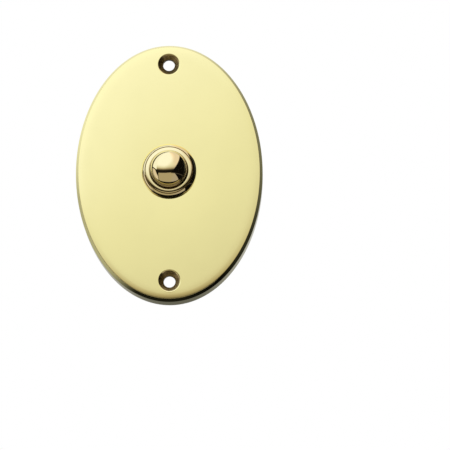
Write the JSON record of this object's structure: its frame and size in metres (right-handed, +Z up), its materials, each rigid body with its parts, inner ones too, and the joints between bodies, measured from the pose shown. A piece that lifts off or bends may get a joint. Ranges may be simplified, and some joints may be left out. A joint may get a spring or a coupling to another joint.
{
  "type": "doorbell push button",
  "caption": "Oval polished brass bell push: countersunk plate, beaded collar, domed button that slides in, and a spring contact switch with screw terminals behind.",
  "frame": {"origin": "where the button's axis meets the wall plane that the plate's rim rests on", "axes": "+Z up along the oval's long axis, front faces -Y, +Y into the wall, +X to the right seen from the front"},
  "size_m": [0.06, 0.0235, 0.084],
  "materials": {
    "polished_brass": "mirror polished and lacquered",
    "turned_brass": "as turned or pressed, unlacquered",
    "phosphor_bronze": "rolled spring strip",
    "contact_silver": "silver contact metal, dull",
    "plated_steel": "bright zinc plate",
    "spring_steel": "drawn wire",
    "black_moulding": "moulded phenolic, low sheen",
    "white_moulding": "moulded nylon"
  },
  "bodies": {
    "plate": {"face_plate": "polished_brass", "collar": "polished_brass", "collar_nut": "turned_brass", "terminal_nut_left": "turned_brass", "terminal_nut_right": "turned_brass", "terminal_screw_left": "turned_brass", "terminal_screw_right": "turned_brass", "terminal_washer_left": "turned_brass", "terminal_washer_right": "turned_brass", "fixed_contact": "turned_brass", "moving_contact": "phosphor_bronze", "contact_rivet_fixed": "contact_silver", "collar_lock_washer": "plated_steel", "base_screw_top": "plated_steel", "base_screw_bottom": "plated_steel", "base_spring_washer_top": "plated_steel", "base_spring_washer_bottom": "plated_steel", "return_spring": "spring_steel", "contact_base": "black_moulding"},
    "button": {"push_button": "polished_brass", "plunger_tip": "white_moulding", "contact_rivet_moving": "contact_silver"}
  },
  "joints": [
    {"name": "button_press", "type": "slide", "parent": "plate", "child": "button", "axis": [0, 1, 0], "range_m": [0, 0.002], "stiffness_N_per_m": 500, "springref_m": -0.004, "deforming": ["return_spring", "moving_contact"]}
  ]
}
